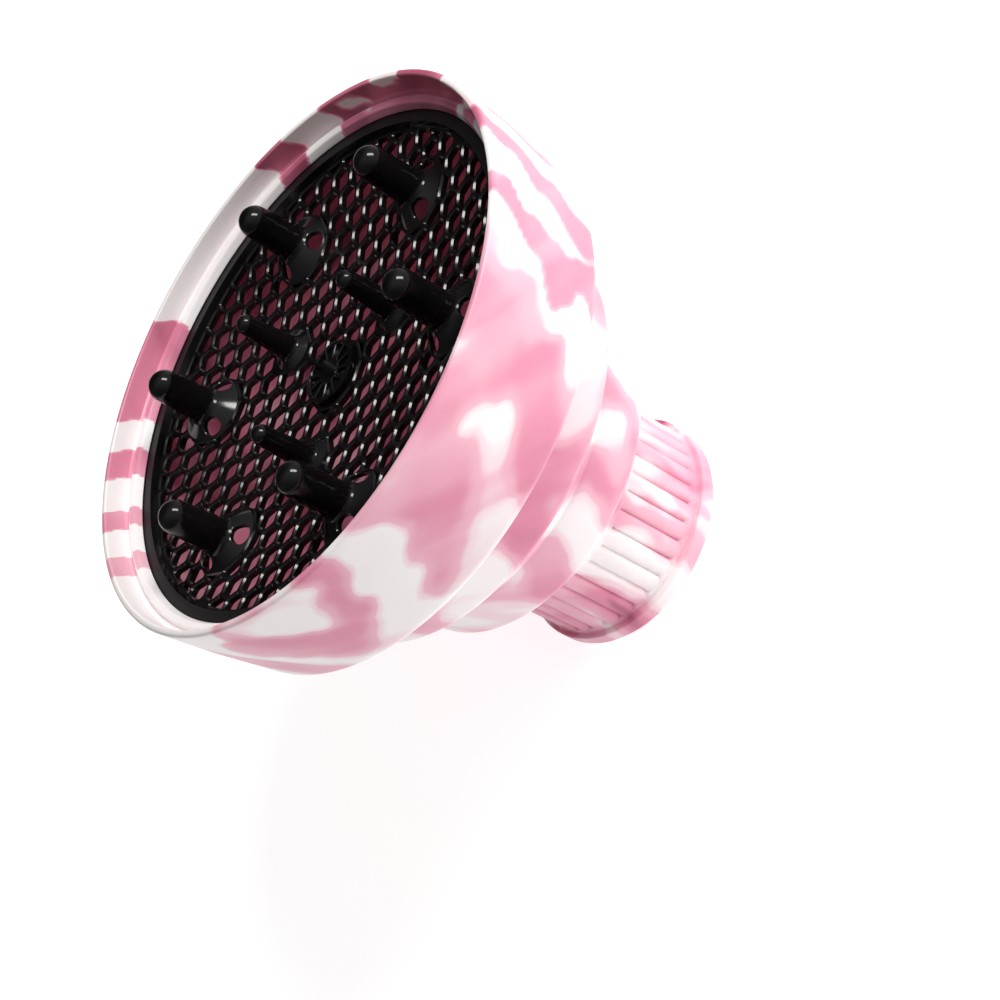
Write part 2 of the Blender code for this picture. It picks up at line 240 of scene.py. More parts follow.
def fold_section(shape, below_radius, below_top, upper):
    """Corners of one skin: its upper part, its rolled shoulder, the fold, and a collar round the
    top of the section below. They go down the outside and back up the inside."""
    turn = shape["radius"] - shape["round"] - 0.6
    low = shape["centre"] - shape["round"] - 0.1
    outer, inner = below_radius + COLLAR_GAP, below_radius - WALL - COLLAR_GAP
    outside = [
        (shape["radius"] + 0.12, low, shape["round"]),
        (turn, low, 1.2),
        (outer, below_top + 0.2, 1.3),
        (outer, below_top - 1.0, 0.0),
    ]
    inside = [
        (inner, below_top - 1.0, 0.0),
        (inner, below_top + WALL + 0.2, 1.0),
        (turn, low + WALL, 1.2),
        (shape["radius"] - WALL, low + WALL, shape["round"] - WALL),
    ]
    return upper[0] + outside + inside + upper[1]


def bowl_outline():
    """The lip, the bowl's wall, and inside it the seat and the bead that grip the grille's rim."""
    lip = [
        (LIP_INNER, LIP_TOP, 0.5),
        (LIP_RADIUS, LIP_TOP, 0.9),
        (LIP_RADIUS - 0.8, LIP_ROOT, 20.0),
    ]
    seat = [
        (SEAT_RADIUS - 1.0, SEAT_BOTTOM - 2.0, 1.0),
        (SEAT_RADIUS - 1.6, SEAT_BOTTOM - 0.2, 0.2),
        (SEAT_RADIUS, SEAT_BOTTOM, 0.0),
        (SEAT_RADIUS, SEAT_TOP, 0.0),
        (BEAD_RADIUS, SEAT_TOP, 0.15),
        (BEAD_RADIUS + 0.9, SEAT_TOP + 2.1, 0.9),
        (SEAT_RADIUS + 0.1, SEAT_TOP + 2.9, 0.8),
        (SEAT_RADIUS + 0.7, SEAT_TOP + 1.4, 0.25),
        (LIP_INNER - 0.4, SEAT_TOP + 2.6, 0.4),
        (LIP_INNER - 0.2, SEAT_TOP + 5.0, 2.0),
    ]
    corners = fold_section(BOWL, OUTER["top_radius"], OUTER["top"], (lip, seat))
    return rounded(corners, ARC_STEPS, SKIN_STEP)


def ring_outline(shape, below_radius, below_top):
    """A folding ring, whose top edge is covered by the collar of the skin above."""
    high = shape["top"] + 0.5
    upper = (
        [(shape["top_radius"], high, 0.4)],
        [(shape["top_radius"] - WALL, high, 0.4)],
    )
    return rounded(fold_section(shape, below_radius, below_top, upper), ARC_STEPS, SKIN_STEP)


def rib_shape(radius, height, angle):
    """Convex ribs with narrow grooves, whose ends are rounded below the lip and at the top."""
    across = np.abs((angle * RIBS / TAU) % 1.0 * 2.0 - 1.0)
    hump = np.sqrt(np.clip(1.0 - across**2.6, 0.0, 1.0))
    low = RIBS_FROM + 1.3 * across**2
    high = RIBS_TO - across**2
    window = smooth(np.clip((height - low) / 0.9, 0, 1) * np.clip((high - height) / 1.4, 0, 1))
    ribbed = RIB_GROOVE + (RIB_CREST - RIB_GROOVE) * hump
    outside = radius > (RIB_GROOVE + RIB_CREST) / 2
    return np.where(outside, radius + (ribbed - radius) * window, radius), height


def socket_outline():
    """The tube, from its flared top to the end lip at the dryer's side, and back up the bore."""
    tube = RIB_CREST + 0.2
    corners = [
        (SOCKET_TOP_RADIUS - WALL, SOCKET_TOP + 0.4, 0.3),
        (SOCKET_TOP_RADIUS, SOCKET_TOP + 0.4, 0.3),
        (SOCKET_TOP_RADIUS, 31.9, 0.6),
        (tube, 31.3, 0.6),
        (tube, 5.2, 0.5),
        (END_LIP_RADIUS, 4.9, 0.6),
        (END_LIP_RADIUS, 0.0, 1.3),
        (BORE, 0.0, 1.2),
        (BORE, 31.0, 1.0),
    ]
    return rounded(corners, longest=SOCKET_STEP)


def prong_places():
    """(name, x, y, boss, prong) of each prong."""
    places = []
    for i in range(6):
        angle = TAU * i / 6
        spot = LONG_DISTANCE * math.cos(angle), LONG_DISTANCE * math.sin(angle)
        places.append((f"long_prong_{i + 1}", *spot, LONG_BOSS, LONG_PRONG))
    for i in range(3):
        angle = math.radians(-30.0) + TAU * i / 3
        spot = SHORT_DISTANCE * math.cos(angle), SHORT_DISTANCE * math.sin(angle)
        places.append((f"short_prong_{i + 1}", *spot, SHORT_BOSS, SHORT_PRONG))
    return places


PLACES = prong_places()


def dish(x, y):
    """Height of the dish's upper face, without the bosses."""
    return DISH_CENTRE + DISH_RISE * (x * x + y * y) / DISH_RADIUS**2


def dish_faces(x, y):
    """Heights of the dish's upper and lower faces, which both rise to the bosses."""
    high, thickness = dish(x, y), DISH_THICKNESS
    for _, boss_x, boss_y, boss, _ in PLACES:
        away = math.hypot(x - boss_x, y - boss_y)
        share = min(1.0, max(0.0, (boss["foot"] - away) / (boss["foot"] - boss["top_radius"])))
        high += share * (boss["top"] - high)
        thickness += share * (BOSS_THICKNESS - DISH_THICKNESS)
    return high, high - thickness


def grille_height(x, y):
    """The upper face: the flat rim, its bevelled step, the dish and the bosses."""
    distance = math.hypot(x, y)
    if distance > DISH_RADIUS + STEP_WIDTH:
        return RIM_TOP
    height = dish_faces(x, y)[0]
    if distance > DISH_RADIUS:
        return height + (RIM_TOP - height) * (distance - DISH_RADIUS) / STEP_WIDTH
    return height


def grille_under(x, y):
    """The lower face: flat below the rim, and following the upper face inside it."""
    if math.hypot(x, y) > DISH_RADIUS + 0.4 * STEP_WIDTH:
        return RIM_BOTTOM
    return dish_faces(x, y)[1]


def polygon(centre_x, centre_y, radius, sides, turn=0.0):
    angles = [turn + TAU * j / sides for j in range(sides)]
    return [(centre_x + radius * math.cos(a), centre_y + radius * math.sin(a)) for a in angles]


def clip(outline, normal_x, normal_y, limit):
    """The part of a convex outline where x * normal_x + y * normal_y is at most the limit."""
    kept = []
    for j, (x, y) in enumerate(outline):
        before_x, before_y = outline[j - 1]
        here = x * normal_x + y * normal_y - limit
        before = before_x * normal_x + before_y * normal_y - limit
        if here * before < 0:
            share = before / (before - here)
            kept.append((before_x + share * (x - before_x), before_y + share * (y - before_y)))
        if here <= 0:
            kept.append((x, y))
    return kept


def clip_to_area(outline):
    """The part of an outline inside the round area that holds the cells."""
    limit = CELL_AREA * math.cos(math.pi / AREA_SIDES)
    for j in range(AREA_SIDES):
        angle = TAU * (j + 0.5) / AREA_SIDES
        outline = clip(outline, math.cos(angle), math.sin(angle), limit)
    return outline


def clip_clear(outline, x, y, round_x, round_y, size):
    """A cell centred at x, y, cut back from a round place that is kept whole."""
    away = math.hypot(x - round_x, y - round_y)
    if away < 0.5 * PITCH:
        return []
    if away >= size + PITCH:
        return outline
    nx, ny = (round_x - x) / away, (round_y - y) / away
    return clip(outline, nx, ny, round_x * nx + round_y * ny - size)


def area(outline):
    return abs(sum(outline[j - 1][0] * y - x * outline[j - 1][1] for j, (x, y) in enumerate(outline))) / 2


def tidy(outline, shortest=0.25):
    """The outline without corners that lie almost on the one before."""
    kept = []
    for point in outline:
        if not kept or math.dist(kept[-1], point) > shortest:
            kept.append(point)
    while len(kept) > 3 and math.dist(kept[0], kept[-1]) <= shortest:
        kept.pop()
    return kept


def grown(outline, distance):
    """A convex outline, anticlockwise, with each side moved outwards."""
    count = len(outline)
    lines = []
    for j in range(count):
        (x0, y0), (x1, y1) = outline[j], outline[(j + 1) % count]
        length = math.hypot(x1 - x0, y1 - y0)
        nx, ny = (y1 - y0) / length, -(x1 - x0) / length
        lines.append((nx, ny, nx * x0 + ny * y0 + distance))
    corners = []
    for j in range(count):
        (a, b, c), (d, e, f) = lines[j - 1], lines[j]
        det = a * e - b * d
        if abs(det) < 1e-3:
            x, y = outline[j]
            corners.append((x + a * distance, y + b * distance))
        else:
            corners.append(((c * e - b * f) / det, (a * f - c * d) / det))
    return corners


def soft_corners(outline, size, steps=2):
    """Each corner of a convex outline rounded off."""
    count = len(outline)
    found = []
    for j in range(count):
        here = Vector(outline[j])
        before, after = Vector(outline[j - 1]) - here, Vector(outline[(j + 1) % count]) - here
        back = min(size, 0.42 * before.length, 0.42 * after.length)
        start, end = here + before.normalized() * back, here + after.normalized() * back
        for k in range(steps + 1):
            t = k / steps
            found.append(tuple(start * (1 - t) ** 2 + here * 2 * t * (1 - t) + end * t * t))
    return found


def cell_openings():
    """The honeycomb's openings, cut back to its round area and clear of the bosses and the hub."""
    reach = int(CELL_AREA / PITCH) + 3
    keep_outs = [(0.0, 0.0, HUB_RADIUS + 1.0)]
    keep_outs += [(bx, by, boss["foot"] + BOSS_MARGIN) for _, bx, by, boss, _ in PLACES]
    openings = []
    for row in range(-reach, reach + 1):
        for column in range(-2 * reach, 2 * reach + 1):
            x = (column + 0.5 * row) * PITCH + PITCH / 2
            y = (row + 1.0 / 3.0) * PITCH * math.sqrt(3.0) / 2
            distance = math.hypot(x, y)
            if distance > CELL_AREA + PITCH:
                continue
            outline = polygon(x, y, (PITCH - CELL_WALL) / math.sqrt(3.0), 6, math.radians(30.0))
            if distance > CELL_AREA - PITCH:
                outline = clip_to_area(outline)
            for keep_out in keep_outs:
                outline = clip_clear(outline, x, y, *keep_out)
            outline = tidy(outline)
            if len(outline) > 2 and area(outline) > SMALLEST_CELL:
                openings.append(outline)
    return openings


def vent_outlines():
    """The oval windows in the side of each long prong's boss, as they look from above."""
    found = []
    for i in range(6):
        outwards = TAU * i / 6
        cx, cy = LONG_DISTANCE * math.cos(outwards), LONG_DISTANCE * math.sin(outwards)
        for k in range(VENTS_PER_BOSS):
            angle = outwards + TAU * k / VENTS_PER_BOSS
            outline = []
            for x, y in polygon(0.0, 0.0, 1.0, VENT_SIDES):
                along, across = VENT_DISTANCE + x * VENT_DEPTH / 2, y * VENT_WIDTH / 2
                here_x = cx + along * math.cos(angle) - across * math.sin(angle)
                here_y = cy + along * math.sin(angle) + across * math.cos(angle)
                outline.append((here_x, here_y))
            found.append(outline)
    return found


def pierced_slab(outer_loops, kept_loops, holes, top, under):
    """A closed body with rounded edges, between two height functions. The outer loops go from the
    upper face's edge to the lower face's; each hole is a list of loops and depths, top to bottom."""
    points, edges, faces = [], [], []

    def add(outline):
        first = len(points)
        points.extend(Vector(p) for p in outline)
        return list(range(first, len(points)))

    faces.append(add(outer_loops[0][0]))
    for hole in holes:
        faces.append(add(hole[0][0]))
    for outline in kept_loops:
        loop = add(outline)
        edges += [(loop[j - 1], loop[j]) for j in range(len(loop))]
    plan, _, triangles, origins, _, sources = delaunay_2d_cdt(points, edges, faces, 1, 1e-5)
    place = {}
    for new, olds in enumerate(origins):
        for old in olds:
            place[old] = new
    kept = [tuple(tri) for tri, source in zip(triangles, sources) if list(source) == [0]]
    count = len(plan)
    solid = [(p.x, p.y, top(p.x, p.y)) for p in plan] + [(p.x, p.y, under(p.x, p.y)) for p in plan]
    made = kept + [(c + count, b + count, a + count) for a, b, c in kept]

    def wall(loops, first, inwards):
        rows = [[place[first + j] for j in range(len(loops[0][0]))]]
        heads = [(solid[i][2], solid[i + count][2]) for i in rows[0]]
        for outline, drop in loops[1:-1]:
            start = len(solid)
            for (x, y), (high, low) in zip(outline, heads):
                solid.append((x, y, high - drop if drop >= 0 else low - drop))
            rows.append(list(range(start, len(solid))))
        rows.append([i + count for i in rows[0]])
        for upper, lower in zip(rows, rows[1:]):
            for j in range(len(upper)):
                quad = (upper[j - 1], upper[j], lower[j], lower[j - 1])
                made.append(quad if inwards else quad[::-1])

    wall(outer_loops, 0, False)
    first = len(outer_loops[0][0])
    for hole in holes:
        wall(hole, first, True)
        first += len(hole[0][0])
    return solid, made


def hole_loops(outline, corner, edge=EDGE):
    """The loops down the wall of one opening, with its edges chamfered at the top and the bottom."""
    loops = []
    under = min(edge, EDGE_UNDER)
    for out, drop in ((edge, 0.0), (0.0, edge), (0.0, -under), (under, 0.0)):
        grown_outline = grown(outline, out) if out else outline
        loops.append((soft_corners(grown_outline, corner), drop))
    return loops


def vent_loops(outline):
    """The loops down the wall of one window, with its edges chamfered."""
    cx = sum(p[0] for p in outline) / len(outline)
    cy = sum(p[1] for p in outline) / len(outline)
    loops = []
    for out, drop in ((EDGE_UNDER, 0.0), (0.0, EDGE_UNDER), (0.0, -EDGE_UNDER), (EDGE_UNDER, 0.0)):
        scale = 1.0 + out / (VENT_WIDTH / 2)
        loops.append(([(cx + (x - cx) * scale, cy + (y - cy) * scale) for x, y in outline], drop))
    return loops


def disc_loops(radius, sides, insets_and_drops):
    """The loops down a disc's edge, each set in from the radius and down from the upper face."""
    return [(polygon(0, 0, radius - inset, sides), drop) for inset, drop in insets_and_drops]


def build_grille():
    edge = ((0.4, 0.0), (0.1, 0.12), (0.0, 0.4), (0.0, -0.4), (0.4, 0.0))
    rim = disc_loops(GRILLE_RADIUS, RIM_SIDES, edge)
    step_offsets = (STEP_WIDTH + 0.25, STEP_WIDTH, 0.0, -0.2)
    kept = [polygon(0, 0, DISH_RADIUS + offset, RIM_SIDES) for offset in step_offsets]
    for _, x, y, boss, _ in PLACES:
        low, high = boss["foot"], boss["top_radius"]
        for share in (0.0, 0.12, 0.35, 0.65, 0.88, 1.0):
            kept.append(polygon(x, y, low + share * (high - low), BOSS_SIDES))
    holes = [hole_loops(outline, CELL_CORNER) for outline in cell_openings()]
    holes += [vent_loops(outline) for outline in vent_outlines()]
    points, faces = pierced_slab(rim, kept, holes, grille_height, grille_under)
    return mesh_object("honeycomb_grille", points, faces, 30.0)


def peg(name, outline, x, y, steps=40):
    """A turned peg: the outline goes down from its tip to its base."""
    points = [(x, y, outline[0][1])]
    angles = [TAU * j / steps for j in range(steps)]
    for radius, height in outline[1:]:
        points += [(x + radius * math.cos(a), y + radius * math.sin(a), height) for a in angles]
    faces = [(0, 1 + j, 1 + (j + 1) % steps) for j in range(steps)]
    for i in range(len(outline) - 2):
        high, low = 1 + i * steps, 1 + (i + 1) * steps
        for j in range(steps):
            beside = (j + 1) % steps
            faces.append((high + j, low + j, low + beside, high + beside))
    last = 1 + (len(outline) - 2) * steps
    faces.append(tuple(reversed(range(last, last + steps))))
    return mesh_object(name, points, faces, 50.0)


def prong_outline(boss, prong):
    """A domed tip, a gentle taper and a small fillet where the prong meets its boss."""
    tip, tip_centre = prong["tip"], prong["tip_centre"]
    sunk, fillet_height, fillet = 0.25, 2.2, 0.75
    dome_steps, taper_steps, fillet_steps = 10, 8, 6
    neck = prong["base"] - 0.35
    base = boss["top"] - sunk
    bottom = base + fillet_height
    outline = [(0.0, tip_centre + tip)]
    for k in range(1, dome_steps + 1):
        angle = math.radians(90.0 - 90.0 * k / dome_steps)
        outline.append((tip * math.cos(angle), tip_centre + tip * math.sin(angle)))
    for k in range(1, taper_steps + 1):
        share = k / taper_steps
        height = tip_centre + (bottom - tip_centre) * share
        outline.append((tip + (neck - tip) * share**1.15, height))
    for k in range(1, fillet_steps + 1):
        share = k / fillet_steps
        outline.append((neck + fillet * share**2.5, bottom + (base - bottom) * share))
    return outline


# ---------------------------------------------------------------- materials


class Nodes:
    """A short way to write a node tree."""

    def __init__(self, name):
        self.material = bpy.data.materials.new(name)
        self.material.use_nodes = True
        self.tree = self.material.node_tree
        self.shader = self.tree.nodes["Principled BSDF"]

    def new(self, kind, inputs=(), **settings):
        node = self.tree.nodes.new(kind)
        for key, value in settings.items():
            setattr(node, key, value)
        for key, value in dict(inputs).items():
            if isinstance(value, bpy.types.NodeSocket):
                self.tree.links.new(value, node.inputs[key])
            else:
                node.inputs[key].default_value = value
        return node

    def math(self, operation, a, b):
        return self.new("ShaderNodeMath", {0: a, 1: b}, operation=operation).outputs[0]

    def vector(self, operation, a, b):
        return self.new("ShaderNodeVectorMath", {0: a, 1: b}, operation=operation).outputs[0]

    def noise(self, at, scale, detail=2.0, roughness=0.5, distortion=0.0):
        inputs = {"Vector": at, "Scale": scale, "Detail": detail, "Roughness": roughness}
        inputs["Distortion"] = distortion
        return self.new("ShaderNodeTexNoise", inputs)

    def ramp(self, factor, stops):
        node = self.new("ShaderNodeValToRGB", {"Fac": factor})
        node.color_ramp.interpolation = "EASE"
        elements = node.color_ramp.elements
        while len(elements) < len(stops):
            elements.new(0.5)
        for element, (place, colour) in zip(elements, stops):
            element.position = place
            element.color = (*colour, 1.0)
        return node.outputs["Color"]

    def link(self, output, socket):
        self.tree.links.new(output, self.shader.inputs[socket])

    def bump(self, height, strength, distance):
        node = self.new("ShaderNodeBump", {"Height": height, "Strength": strength, "Distance": distance})
        self.link(node.outputs["Normal"], "Normal")


def silicone(name, size=1.0, twist=14.0, stretch=0.42, seed=0.0, pinker=0.0):
    """Pink and white silicone, marbled in streaks that run along the axis and lean to one side. Where
    a point is held, its colour is drawn to its tone: the marbling's, or painted shade inside the bell."""
    n = Nodes(name)
    place = n.new("ShaderNodeAttribute", attribute_name="rest_place").outputs["Vector"]
    split = n.new("ShaderNodeSeparateXYZ", {0: place})
    lean = n.math("MULTIPLY", split.outputs["Z"], twist)
    leant = n.new("ShaderNodeVectorRotate", {"Vector": place, "Angle": lean}, rotation_type="Z_AXIS")
    leant = leant.outputs[0]
    wave = n.noise(n.vector("ADD", leant, (seed, 0.3, 0.1)), 22.0 / size, 2.0, 0.5)
    shift = n.vector("SUBTRACT", wave.outputs["Color"], (0.5, 0.5, 0.5))
    shift = n.vector("MULTIPLY", shift, (0.030 * size, 0.030 * size, 0.05 * size))
    moved = n.vector("ADD", leant, shift)
    squeezed = n.vector("MULTIPLY", moved, (1.0, 1.0, stretch))
    streaks = n.noise(n.vector("ADD", squeezed, (0.7 + seed, 0.2, 0.9)), 46.0 / size, 1.6, 0.45, 0.25)
    soft = n.noise(n.vector("ADD", squeezed, (0.1, 0.8 + seed, 0.4)), 17.0 / size, 1.0, 0.4)
    mostly = n.math("MULTIPLY", streaks.outputs["Fac"], 0.72)
    mixed = n.math("ADD", mostly, n.math("MULTIPLY", soft.outputs["Fac"], 0.28))
    held = n.new("ShaderNodeAttribute", attribute_name="held").outputs["Fac"]
    tone = n.new("ShaderNodeAttribute", attribute_name="tone").outputs["Fac"]
    away = n.math("MULTIPLY", n.math("SUBTRACT", 0.5, mixed), n.math("MULTIPLY", held, 0.55))
    mixed = n.math("ADD", n.math("ADD", mixed, away), n.math("ADD", tone, pinker))
    colour = n.ramp(
        mixed,
        [
            (0.425, (0.930, 0.870, 0.880)),
            (0.470, (0.900, 0.700, 0.745)),
            (0.515, (0.825, 0.430, 0.530)),
            (0.620, (0.720, 0.250, 0.370)),
            (0.740, (0.360, 0.070, 0.130)),
        ],
    )
    n.link(colour, "Base Color")
    fine = n.noise(place, 900.0, 3.0, 0.6)
    rough = n.new("ShaderNodeMapRange", {0: fine.outputs["Fac"], 3: 0.30, 4: 0.44}).outputs[0]
    n.link(rough, "Roughness")
    n.shader.inputs["Specular IOR Level"].default_value = 0.42
    n.shader.inputs["Subsurface Weight"].default_value = 0.18
    n.shader.inputs["Subsurface Radius"].default_value = (1.0, 0.45, 0.40)
    n.shader.inputs["Subsurface Scale"].default_value = 0.004
    n.bump(fine.outputs["Fac"], 0.10, 0.0002)
    return n.material


SATIN_RIM = 0.36  # how much rougher the grille's flat rim is than its honeycomb


def black_plastic(name, gloss, grain, shine):
    """Black injection-moulded plastic: near-black, with a faint flow pattern in its gloss."""
    n = Nodes(name)
    place = n.new("ShaderNodeAttribute", attribute_name="rest_place").outputs["Vector"]
    cloud = n.noise(place, 60.0, 3.0, 0.5)
    blacks = [(0.35, (0.0028, 0.0025, 0.0028)), (0.7, (0.0055, 0.0048, 0.0052))]
    n.link(n.ramp(cloud.outputs["Fac"], blacks), "Base Color")
    rough = n.new("ShaderNodeMapRange", {0: cloud.outputs["Fac"], 3: gloss, 4: gloss + 0.05}).outputs[0]
    flat = n.vector("MULTIPLY", place, (1.0, 1.0, 0.0))
    away = n.new("ShaderNodeVectorMath", {0: flat}, operation="LENGTH").outputs["Value"]
    rim = n.math("GREATER_THAN", away, (DISH_RADIUS + STEP_WIDTH) * MM)
    satin = n.math("MULTIPLY", rim, SATIN_RIM)
    n.link(n.math("ADD", rough, satin), "Roughness")
    fine = n.noise(place, 1500.0, 2.0, 0.6)
    n.bump(fine.outputs["Fac"], grain, 0.0001)
    n.shader.inputs["Specular IOR Level"].default_value = shine
    return n.material


def dress(obj, material):
    """The object, with the material as its only one."""
    obj.data.materials.append(material)
    return obj


# ---------------------------------------------------------------- marbling and painted inner shade

# Streaks of the bell's marbling: from (azimuth, height) to (azimuth, height) in degrees and
# millimetres, half the width at each end, and the tone, where pink is positive and white negative.
STREAKS = [
    (-20, 120, -54, 97, 24, 20, -0.11),
    (-25, 123, -42, 89, 3.4, 5.9, 0.12),
    (-43, 123, -48, 110, 3.6, 3.8, 0.12),
    (-48, 110, -56, 99, 4.2, 5.4, 0.12),
    (-51, 98, -52, 87, 5.4, 5.9, 0.11),
    (-12, 119, -22, 97, 2.6, 3.4, 0.08),
    (-63, 112, -80, 93, 9, 13, 0.03),
    (-66, 119, -75, 105, 7, 7, 0.06),
    (-72, 100, -88, 89, 7, 7, 0.11),
    (-86, 105, -103, 91, 6.5, 6.5, -0.03),
    (-84, 120, -108, 119, 6, 6, 0.03),
    (-92, 113, -114, 99, 8, 9, 0.09),
    (-114, 113, -123, 96, 8, 9, -0.09),
    (-121, 121, -129, 104, 6, 8, 0.11),
    (-131, 117, -142, 103, 8, 8, -0.08),
    (-136, 98, -151, 113, 7, 6, 0.11),
    (-152, 122, -176, 119, 6, 5, -0.09),
    (-52, 75, -70, 74, 9, 9, -0.04),
    (-98, 74, -108, 66, 7, 7, 0.10),
    (-112, 75, -124, 70, 7, 7, -0.07),
    (-48, 60, -58, 48, 6, 6, 0.09),
    (-62, 53, -74, 50, 6, 6, -0.01),
    (-78, 58, -87, 46, 6, 6, 0.08),
    (-90, 53, -102, 50, 6, 6, -0.04),
    (-106, 56, -116, 45, 6, 6, 0.09),
]
# Blocks of colour round the lip: where each starts, in degrees, and its tone. The last one only ends
# the one before.
LIP_BLOCKS = [(-7, 0.16), (37, -0.16), (49, 0.16), (58, -0.2), (98, 0.16), (122, -0.2), (129, 0.16)]
LIP_BLOCKS += [(136.5, -0.2), (144.5, 0.16), (150.5, -0.2), (158, 0.1), (165, -0.16), (205, 0.0)]
LIP_SPOTS = [(13, 122, 19, 121, 1.5, 1.8, -0.2), (27, 118, 31, 119, 2.0, 2.0, -0.12)]
SMALL_STREAK = 6.0  # half width below which a streak has firm sides
# Painted shade: how far, and how firmly, the bell's inside below the grille's seat is drawn to deep pink.
INSIDE_PAINTED_SHADE = 0.17
INSIDE_SHADE_HELD = 0.8
INSIDE_TOP = 112.0
BLOCK_FADE_FROM, BLOCK_FADE_TO = 106.0, 120.0  # the blocks fade out down the outside
FIRM_DEGREES, SOFT_DEGREES = 0.4, 1.8


def marble_and_inner_shade(obj):
    """Stores how far each point of the bell is pushed to pink or white, and how firmly it's held there:
    the marbling, and on the bell's inside below the grille's seat a deeper pink that is painted shade.
    """
    mesh = obj.data
    count = len(mesh.vertices)
    places, normals = np.empty(count * 3), np.empty(count * 3)
    mesh.vertices.foreach_get("co", places)
    mesh.vertices.foreach_get("normal", normals)
    x, y, height = places.reshape(-1, 3).T / MM
    radius = np.hypot(x, y)
    normal_x, normal_y, upwards = normals.reshape(-1, 3).T
    outwards = (normal_x * x + normal_y * y) / radius
    azimuth = np.degrees(np.arctan2(y, x))
    waved = azimuth + 1.1 * np.sin(0.42 * height + 0.16 * azimuth)
    waved += 0.5 * np.sin(0.9 * height - 0.3 * azimuth)
    tone, held = np.zeros(count), np.zeros(count)

    def paint(share, value):
        tone[:] = tone + (value - tone) * share
        held[:] = np.maximum(held, share)

    def streak(start, low, end, high, half_start, half_end, value):
        across = (waved - start + 180.0) % 360.0 - 180.0
        along = np.radians(across) * radius
        reach = np.radians(end - start) * radius
        rise = high - low
        at = np.clip((along * reach + (height - low) * rise) / (reach**2 + rise**2), 0.0, 1.0)
        off = np.hypot(along - at * reach, height - low - at * rise)
        half = half_start + (half_end - half_start) * at
        soft = 0.5 if half_end < SMALL_STREAK else 1.0
        paint(smooth((1.0 + soft / 2 - off / half) / soft), value)

    for entry in STREAKS:
        streak(*entry)
    inner = (outwards < -0.3) | ((upwards > 0.3) & (height < INSIDE_TOP))
    # Painted shade: the inner faces below INSIDE_TOP are pushed to a deeper pink, for the dim inside.
    paint(np.where(inner & (height < INSIDE_TOP), INSIDE_SHADE_HELD, 0.0), INSIDE_PAINTED_SHADE)
    first = LIP_BLOCKS[0][0]
    turned = (azimuth + 1.2 * np.sin(0.5 * height) - first) % 360.0 + first
    side = np.where(inner | (height > LIP_TOP - 1.5), FIRM_DEGREES, SOFT_DEGREES)
    fade = smooth((height - BLOCK_FADE_FROM) / (BLOCK_FADE_TO - BLOCK_FADE_FROM))
    fade = np.where(inner, smooth(height - INSIDE_TOP), fade)
    for (start, value), (end, _) in zip(LIP_BLOCKS, LIP_BLOCKS[1:]):
        share = smooth((turned - start + side) / (2 * side)) * smooth((end + side - turned) / (2 * side))
        paint(share * fade, value)
    for entry in LIP_SPOTS:
        streak(*entry)
    for name, values in (("tone", tone), ("held", held)):
        stored = mesh.attributes.new(name, "FLOAT", "POINT")
        stored.data.foreach_set("value", values.astype(np.float32))


# ---------------------------------------------------------------- pieces


def fold(obj, below, above, start_radius, end_radius, start, end):
    """Bakes the skin's placement into its points, and works out how much each point would move with the
    section above, growing with its distance from the axis; that share is not used."""
    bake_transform(obj)
    points = np.array([v.co for v in obj.data.vertices], float).reshape(-1, 3) / MM
    radius = np.hypot(points[:, 0], points[:, 1])
    share = smooth((radius - start_radius) / (end_radius - start_radius))
    share = np.where(points[:, 2] > end + ABOVE_FOLD, 1.0, share)


def build_skin(name, outline, columns, material, nodes, below, bend):
    """One skin of the bell, which stands in for a section and for the web at its fold."""
    skin = dress(mesh_object(name, *turned_grid(outline, columns)), material)
    marble_and_inner_shade(skin)
    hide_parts(*nodes)
    fold(skin, below, nodes[0], **bend)


def build_bell():
    """The three skins of the bell, from the mouth down. The socket has a finer marbling of its own."""
    pink = silicone("marbled_silicone")
    bowl_nodes = ("bowl", "fold_web_bowl")
    build_skin("bowl_skin", bowl_outline(), BOWL_COLUMNS, pink, bowl_nodes, "outer_ring", BOWL_FOLD)
    outline = ring_outline(OUTER, INNER["top_radius"], INNER["top"])
    outer_nodes = ("outer_ring", "fold_web_middle")
    build_skin("outer_ring_skin", outline, OUTER_COLUMNS, pink, outer_nodes, "inner_ring", OUTER_FOLD)
    outline = ring_outline(INNER, SOCKET_TOP_RADIUS, SOCKET_TOP)
    inner_nodes = ("inner_ring", "fold_web_socket")
    build_skin("inner_ring_skin", outline, INNER_COLUMNS, pink, inner_nodes, "socket", INNER_FOLD)


def build_socket(material):
    grid = turned_grid(socket_outline(), RIBS * COLUMNS_PER_RIB, rib_shape)
    socket = dress(mesh_object("ribbed_socket", *grid), material)
    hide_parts("nozzle_socket")
    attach(socket, "socket")


def fin_section(reach):
    """A closed outline across a fin, as (distance in from its root, distance to one side). It gets
    thinner towards its rounded free edge."""
    across = 9
    side = []
    for k in range(across + 1):
        share = k / across
        half = FIN_HALF_THICKNESS * (1.0 - 0.45 * share**3)
        side.append((-FIN_SUNK + (reach + FIN_SUNK) * share, half))
    tip, tip_half = side[-1]
    edge = []
    for degrees in (60, 20, -20, -60):
        angle = math.radians(degrees)
        edge.append((tip + 0.8 * tip_half * math.cos(angle), tip_half * math.sin(angle)))
    return side + edge + [(x, -half) for x, half in reversed(side)]


